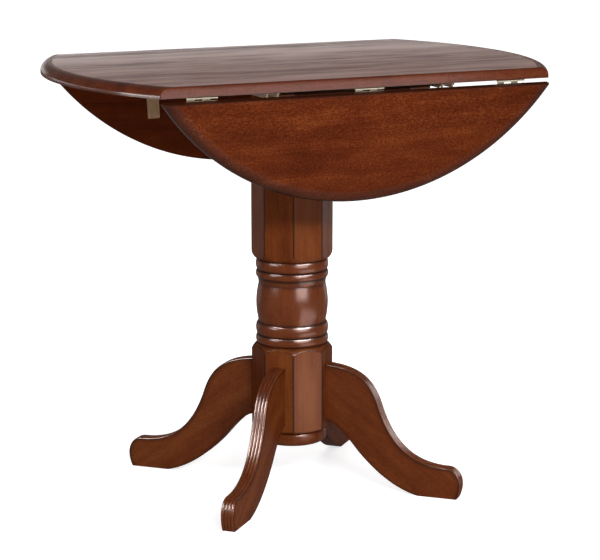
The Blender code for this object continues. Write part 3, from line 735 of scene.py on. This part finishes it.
def stained_wood(name, grain_turn, board, tones, roughness, specular, streak=0.24, relief=0.10, bands=0.30,
                 fleck=0.2, open_grain=0.0, lacquer=0.0):
    """Stained and lacquered wood, darkened by the glaze and shade value, which holds glaze and painted shade;
    its grain runs along X once grain_turn is applied.
    """
    material, tree, shader = new_material(name)
    dark, middle, light, glaze_and_shade_colour = tones
    coords = add_node(tree, "ShaderNodeTexCoord").outputs["Object"]
    turned = add_node(tree, "ShaderNodeMapping", None, Vector=coords, Rotation=grain_turn).outputs[0]
    _, y, z = add_node(tree, "ShaderNodeSeparateXYZ", None, Vector=turned).outputs
    if board == "facets":
        angle = calc(tree, "ARCTAN2", z, y)
        index = calc(tree, "FLOOR", calc(tree, "ADD", calc(tree, "DIVIDE", angle, math.pi / 4), 0.5))
        # Each facet gets its own tone; its seed makes the front facet lightest and the side facets darkest,
        # which is painted light and shade
        index = calc(tree, "ADD", calc(tree, "FLOORED_MODULO", index, 8.0), FACET_SHADE_SEED)
    else:
        index = calc(tree, "FLOOR", calc(tree, "DIVIDE", y, board))
    tone = add_node(tree, "ShaderNodeTexWhiteNoise", {"noise_dimensions": "1D"}, W=index).outputs["Value"]
    away = calc(tree, "MULTIPLY", tone, BOARD_SHIFT)
    shift = add_node(tree, "ShaderNodeCombineXYZ", None, X=away, Y=0.0, Z=tone)
    settings = {"operation": "ADD"}
    grain = add_node(tree, "ShaderNodeVectorMath", settings, i0=turned, i1=shift.outputs[0]).outputs[0]
    figure = noise(tree, grain, FIGURE_SCALE, 3.0, 0.6, 0.8)
    streaks = noise(tree, grain, STREAK_SCALE, 5.0, 0.6)
    mottle = noise(tree, turned, MOTTLE_SCALE, 4.0, 0.6)
    flecks = noise(tree, grain, FLECK_SCALE, 3.0, 0.7)
    pores = noise(tree, grain, PORE_SCALE, 2.0, 0.5)
    value = calc(tree, "MULTIPLY", levels(tree, figure, 0.30, 0.70), bands)
    value = plus(tree, value, levels(tree, streaks, 0.28, 0.72), streak)
    value = plus(tree, value, levels(tree, mottle, 0.28, 0.72), MOTTLE_SHARE)
    value = plus(tree, value, calc(tree, "SUBTRACT", flecks, 0.5), fleck * 2)
    value = plus(tree, value, calc(tree, "SUBTRACT", tone, 0.5), bands * 0.5)
    value = calc(tree, "ADD", value, (STREAK_BALANCE - streak) / 2)
    ramp = add_node(tree, "ShaderNodeValToRGB", None, Fac=value)
    stops = ramp.color_ramp.elements
    stops[0].position = STAIN_STOPS[0]
    stops[0].color = (*dark, 1.0)
    stops[1].position = STAIN_STOPS[2]
    stops[1].color = (*light, 1.0)
    stops.new(STAIN_STOPS[1]).color = (*middle, 1.0)
    pore = calc(tree, "MULTIPLY", levels(tree, pores, 0.62, 0.74), PORE_COVER)
    colour = blend_colour(tree, pore, ramp.outputs["Color"], (*dark, 1.0))
    # The glaze and shade value mixes in its dark colour and dulls the finish: glaze on arrises, painted shade
    # in recesses, grooves, under edges and on the leaves' rims
    glaze = add_node(tree, "ShaderNodeAttribute", {"attribute_name": "glaze"}).outputs["Fac"]
    broken = plus(tree, 0.72, mottle, 0.5)
    glaze = calc(tree, "MULTIPLY", glaze, broken, True)
    colour = blend_colour(tree, calc(tree, "MULTIPLY", glaze, GLAZE_AND_SHADE_COVER), colour, (*glaze_and_shade_colour, 1.0))
    tree.links.new(colour, shader.inputs["Base Color"])
    rough = plus(tree, roughness - MOTTLE_DULLING / 2, mottle, MOTTLE_DULLING)
    rough = plus(tree, rough, glaze, GLAZE_AND_SHADE_DULLING)
    rough = plus(tree, rough, levels(tree, value, 0.75, 0.25), open_grain)
    tree.links.new(plus(tree, rough, pore, PORE_DULLING), shader.inputs["Roughness"])
    shader.inputs["Specular IOR Level"].default_value = specular
    shader.inputs["Coat Weight"].default_value = lacquer
    shader.inputs["Coat Roughness"].default_value = roughness
    height = calc(tree, "SUBTRACT", plus(tree, streaks, figure, FIGURE_RELIEF), pore)
    bump = add_node(tree, "ShaderNodeBump", None, Strength=relief, Distance=GRAIN_DEPTH, Height=height)
    tree.links.new(bump.outputs[0], shader.inputs["Normal"])
    return material


def metal(name, colour, tarnish, roughness, brush, metallic=1.0):
    """Plated metal with fine brushing and some tarnish."""
    material, tree, shader = new_material(name)
    coords = add_node(tree, "ShaderNodeTexCoord").outputs["Object"]
    lines = noise(tree, coords, brush, 3.0, 0.6)
    cloud = noise(tree, coords, TARNISH_SCALE, 5.0, 0.65)
    spots = levels(tree, noise(tree, coords, SPOT_SCALE, 3.0, 0.6), 0.55, 0.75)
    worn = calc(tree, "MULTIPLY", levels(tree, cloud, 0.40, 0.75), TARNISH_COVER)
    worn = plus(tree, worn, spots, SPOT_COVER, True)
    tree.links.new(blend_colour(tree, worn, (*colour, 1.0), (*tarnish, 1.0)), shader.inputs["Base Color"])
    rough = plus(tree, roughness, lines, BRUSH_DULLING)
    tree.links.new(plus(tree, rough, worn, TARNISH_DULLING), shader.inputs["Roughness"])
    shader.inputs["Metallic"].default_value = metallic
    bump = add_node(tree, "ShaderNodeBump", None, Strength=BRUSH_RELIEF, Distance=BRUSH_DEPTH, Height=lines)
    tree.links.new(bump.outputs[0], shader.inputs["Normal"])
    return material


def dress_nodes(ending, material, bevel):
    """Give every shown CAD node with one of these endings its material and softly broken edges."""
    for name, item in frame["nodes"].items():
        if not name.endswith(ending):
            continue
        item.data.materials.clear()
        item.data.materials.append(material)
        weld = item.modifiers.new("weld", "WELD")
        weld.merge_threshold = WELD_DISTANCE
        edge = item.modifiers.new("broken edges", "BEVEL")
        edge.width = bevel
        edge.segments = BEVEL_SEGMENTS
        edge.limit_method = "ANGLE"
        edge.angle_limit = BEVEL_ANGLE


def screw(mesh_data, at, out, radius, turn):
    """A countersunk screw head with a cross recess, standing a hair proud of what it holds."""
    side = out.orthogonal().normalized()
    other = out.cross(side)

    def ring(share, lift, star):
        points = []
        for i in range(SCREW_POINTS):
            angle = turn + 2 * math.pi * i / SCREW_POINTS
            arm = i % 4 in (0, 1)
            size = radius * (share if not star or arm else share * RECESS_WAIST)
            points.append(at + out * lift + (side * math.cos(angle) + other * math.sin(angle)) * size)
        return [mesh_data.verts.new(p) for p in points]

    rings = [ring(*level) for level in SCREW_RINGS]
    for low, high in zip(rings, rings[1:]):
        for i in range(SCREW_POINTS):
            j = (i + 1) % SCREW_POINTS
            mesh_data.faces.new((low[i], low[j], high[j], high[i]))
    mesh_data.faces.new(rings[-1])
    mesh_data.faces.new(list(reversed(rings[0])))


def flap_screws(mesh_data, name, raised, seed):
    """Three screws through a hinge flap, on the face away from the wood."""
    back = raised.inverted()
    points = [raised @ v.co for v in frame["nodes"][name].data.vertices]
    low_x = min(p.x for p in points)
    high_x = max(p.x for p in points)
    far = max((p.y for p in points), key=abs)
    face = max(p.z for p in points) - HINGE_SHEET
    side = math.copysign(1.0, far)
    for k, (along, out) in enumerate(FLAP_SCREWS):
        y = side * (FLAP_SETBACK + (abs(far) - FLAP_SETBACK) * out)
        at = back @ Vector((low_x + (high_x - low_x) * along, y, face))
        down = (back.to_3x3() @ DOWN).normalized()
        screw(mesh_data, at, down, FLAP_SCREW_RADIUS, seed + k * FLAP_SCREW_TURN)


def hardware_screws(material):
    """Screws of the hinges, cleats and mounting plate, gathered into one piece for each body."""
    fixed = bmesh.new()
    for place, side in SIDES.items():
        joint = joints[f"{place}_leaf_hinge"]
        pivot = Vector(joint["pos_m"])
        level = Matrix.Translation(-pivot)
        hang = math.radians(joint["range_deg"][1])
        raised = Matrix.Rotation(hang, 4, Vector(joint["axis"])) @ level
        moving = bmesh.new()
        for k, spot in enumerate(("left", "middle", "right")):
            flap_screws(fixed, f"{place}_{spot}_hinge_panel_flap", level, k + side)
            flap_screws(moving, f"{place}_{spot}_hinge_leaf_flap", raised, k * 2.0 + side)
        body = f"{place}_leaf"
        piece = add_piece(f"{place}_leaf_hinge_screws", moving, None, [material], body, SCREW_CREASE)
    for name in ("left_cleat", "right_cleat"):
        low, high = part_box(name)
        for k, share in enumerate(CLEAT_SCREWS):
            at = Vector(((low.x + high.x) / 2, low.y + (high.y - low.y) * share, low.z))
            screw(fixed, at, DOWN, FRAME_SCREW_RADIUS, k * CLEAT_SCREW_TURN)
    low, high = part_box("mounting_plate")
    reach = (high.x - PLATE_SCREW_INSET) * PLATE_SCREW_SPREAD
    for k in range(4):
        angle = math.pi / 4 + k * math.pi / 2
        at = Vector((reach * math.cos(angle), reach * math.sin(angle), low.z))
        screw(fixed, at, DOWN, FRAME_SCREW_RADIUS, k * PLATE_SCREW_TURN)
    piece = add_piece("underframe_screws", fixed, None, [material], "base", SCREW_CREASE)


def light_path_white(tree):
    """1 for rays that should see the white studio: camera, glossy and transmission rays."""
    path = add_node(tree, "ShaderNodeLightPath")
    seen = calc(tree, "MAXIMUM", path.outputs["Is Camera Ray"], path.outputs["Is Glossy Ray"])
    return calc(tree, "MAXIMUM", seen, path.outputs["Is Transmission Ray"])


def white_world():
    """White to the rays that see the studio, and a weaker white as light."""
    world = bpy.data.worlds.new("studio")
    world.use_nodes = True
    bpy.context.scene.world = world
    tree = world.node_tree
    white = light_path_white(tree)
    background = tree.nodes["Background"]
    background.inputs["Color"].default_value = WHITE
    strength = plus(tree, WORLD_LIGHT, white, 1 - WORLD_LIGHT)
    tree.links.new(strength, background.inputs["Strength"])


def pale_floor():
    """A pale floor that keeps the shadow, glows to white away from the table and is clear from below."""
    mesh_data = bmesh.new()
    bmesh.ops.create_grid(mesh_data, x_segments=1, y_segments=1, size=FLOOR_SIZE)
    mesh = bpy.data.meshes.new("studio_floor")
    mesh_data.to_mesh(mesh)
    mesh_data.free()
    floor = bpy.data.objects.new("studio_floor", mesh)
    bpy.context.scene.collection.objects.link(floor)
    material, tree, shader = new_material("studio_floor_white")
    shader.inputs["Base Color"].default_value = FLOOR_COLOUR
    shader.inputs["Roughness"].default_value = 0.9
    shader.inputs["Specular IOR Level"].default_value = 0.0
    shader.inputs["Emission Color"].default_value = WHITE
    place = add_node(tree, "ShaderNodeTexCoord").outputs["Object"]
    away = add_node(tree, "ShaderNodeVectorMath", {"operation": "LENGTH"}, i0=place).outputs["Value"]
    far = levels(tree, away, *FLOOR_FADE)
    sweep = plus(tree, FLOOR_GLOW, far, 1 - FLOOR_GLOW)
    glow = calc(tree, "MULTIPLY", light_path_white(tree), sweep)
    tree.links.new(glow, shader.inputs["Emission Strength"])
    below = add_node(tree, "ShaderNodeNewGeometry").outputs["Backfacing"]
    clear = add_node(tree, "ShaderNodeBsdfTransparent").outputs[0]
    one_way = add_node(tree, "ShaderNodeMixShader", None, i0=below, i1=shader.outputs[0], i2=clear)
    tree.links.new(one_way.outputs[0], tree.nodes["Material Output"].inputs["Surface"])
    floor.data.materials.append(material)


def soft_box(name, at, size, power, aim=MIDDLE):
    light = bpy.data.lights.new(name, "AREA")
    light.shape = "RECTANGLE"
    light.size = size[0]
    light.size_y = size[1]
    light.energy = power
    lamp = bpy.data.objects.new(name, light)
    lamp.location = at
    lamp.rotation_euler = (Vector(aim) - Vector(at)).to_track_quat("-Z", "Y").to_euler()
    bpy.context.scene.collection.objects.link(lamp)
    return lamp


def lamps():
    """Boxes that light the colours, and boxes that make highlights on the lacquered pieces."""
    for box in BOXES:
        soft_box(*box).visible_glossy = False
    receivers = {}
    for group, starts in GLOSSY.items():
        receivers[group] = bpy.data.collections.new(f"lacquered {group}")
        for piece in bpy.data.objects:
            if piece.name.startswith(starts):
                receivers[group].objects.link(piece)
    for *box, group in GLOSSES:
        gloss = soft_box(*box)
        gloss.visible_diffuse = False
        gloss.visible_camera = False
        gloss.light_linking.receiver_collection = receivers[group]


def photo_camera():
    scene = bpy.context.scene
    camera_data = bpy.data.cameras.new("photo_camera")
    camera_data.sensor_width = CAMERA_SENSOR
    camera_data.lens = CAMERA_LENS
    camera = bpy.data.objects.new("photo_camera", camera_data)
    camera.location = CAMERA_PLACE
    camera.rotation_euler = CAMERA_LOOK.to_track_quat("-Z", "Y").to_euler()
    scene.collection.objects.link(camera)
    scene.camera = camera
    scene.view_settings.view_transform = "Standard"


def dress():
    top_wood = stained_wood("stained_top_wood", LENGTHWISE, TOP_BOARD, TOP_STAIN, 0.31, 0.011,
                            streak=0.26, relief=0.15, bands=0.58, open_grain=0.12)
    leaf_wood = stained_wood("stained_leaf_wood", LENGTHWISE, LEAF_BOARD, LEAF_STAIN, 0.31, 0.011,
                             streak=0.10, relief=0.15, bands=0.26, fleck=0.75)
    edge_wood = stained_wood("stained_edge_wood", LENGTHWISE, LEAF_BOARD, EDGE_STAIN, 0.20, 0.0,
                             streak=0.20, fleck=0.4, lacquer=0.12)
    rim_wood = stained_wood("stained_leaf_rim_wood", LENGTHWISE, LEAF_BOARD, LEAF_STAIN, 0.22, 0.0,
                            streak=0.10, bands=0.26, fleck=0.75, lacquer=0.12)
    sealed_wood = stained_wood("sealed_under_wood", LENGTHWISE, LEAF_BOARD, EDGE_STAIN, 0.62, 0.030,
                               streak=0.14, relief=0.15, bands=0.20)
    column_wood = stained_wood("stained_column_wood", UPRIGHT, "facets", WARM_STAIN, 0.20, 0.0,
                               streak=0.16, bands=0.45, fleck=0.3, lacquer=0.045)
    turned_wood = stained_wood("stained_turned_wood", UPRIGHT, WIDE_BOARD, WARM_STAIN, 0.22, 0.0,
                               streak=0.16, fleck=0.3, lacquer=0.12)
    leg_wood = stained_wood("stained_leg_wood", SLOPING, WIDE_BOARD, WARM_STAIN, 0.20, 0.0,
                            streak=0.10, fleck=0.35, lacquer=0.07)
    reed_wood = stained_wood("stained_reed_wood", SLOPING, WIDE_BOARD, WARM_STAIN, 0.24, 0.0,
                             streak=0.10, fleck=0.35, lacquer=0.16)
    under_wood = stained_wood("underframe_wood", LENGTHWISE, WIDE_BOARD, UNDER_STAIN, 0.55, 0.20)
    cross_wood = stained_wood("cleat_wood", CROSSWISE, WIDE_BOARD, CLEAT_STAIN, 0.55, 0.10)
    brass = metal("hinge_brass_finish", (0.94, 0.86, 0.67), (0.76, 0.63, 0.41), 0.26, (900.0, 60.0, 60.0))
    stay_metal = metal("stay_brass_finish", (0.52, 0.35, 0.20), (0.36, 0.24, 0.13), 0.50,
                       STAY_BRUSH, metallic=0.3)
    # A darkened copy of the stay's brass for the brackets and rivets: painted shade for their place in the
    # shadowed slot under the top
    shaded_bracket_metal = metal("bracket_bronze_finish", (0.17, 0.115, 0.075), (0.10, 0.068, 0.043), 0.50,
                          STAY_BRUSH, metallic=0.3)
    steel = metal("bright_steel_finish", (0.62, 0.61, 0.58), (0.42, 0.40, 0.37), 0.28, (500.0, 500.0, 60.0))

    centre_panel(top_wood, edge_wood, sealed_wood)
    for place, side in SIDES.items():
        drop_leaf(place, side, leaf_wood, rim_wood, sealed_wood)
    pedestal_column(column_wood, turned_wood)
    base_cap(turned_wood)
    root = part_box("pedestal_column")[1].x + LEG_GAP
    for place, angle in LEG_ANGLES.items():
        leg(place, angle, root, leg_wood, reed_wood)

    dress_nodes("_cleat", cross_wood, WOOD_BEVEL)
    dress_nodes(("_rail", "mounting_plate"), under_wood, WOOD_BEVEL)
    dress_nodes("_flap", brass, FLAP_BEVEL)
    dress_nodes("_arm", stay_metal, STAY_BEVEL)
    # The brackets and rivets get the darkened brass, which is painted shade
    dress_nodes(("_bracket", "_rivet"), shaded_bracket_metal, STAY_BEVEL)
    dress_nodes(("_pin", "_spring", "_lower", "_upper"), steel, STEEL_BEVEL)
    hardware_screws(steel)


dress()
white_world()
pale_floor()
lamps()
photo_camera()
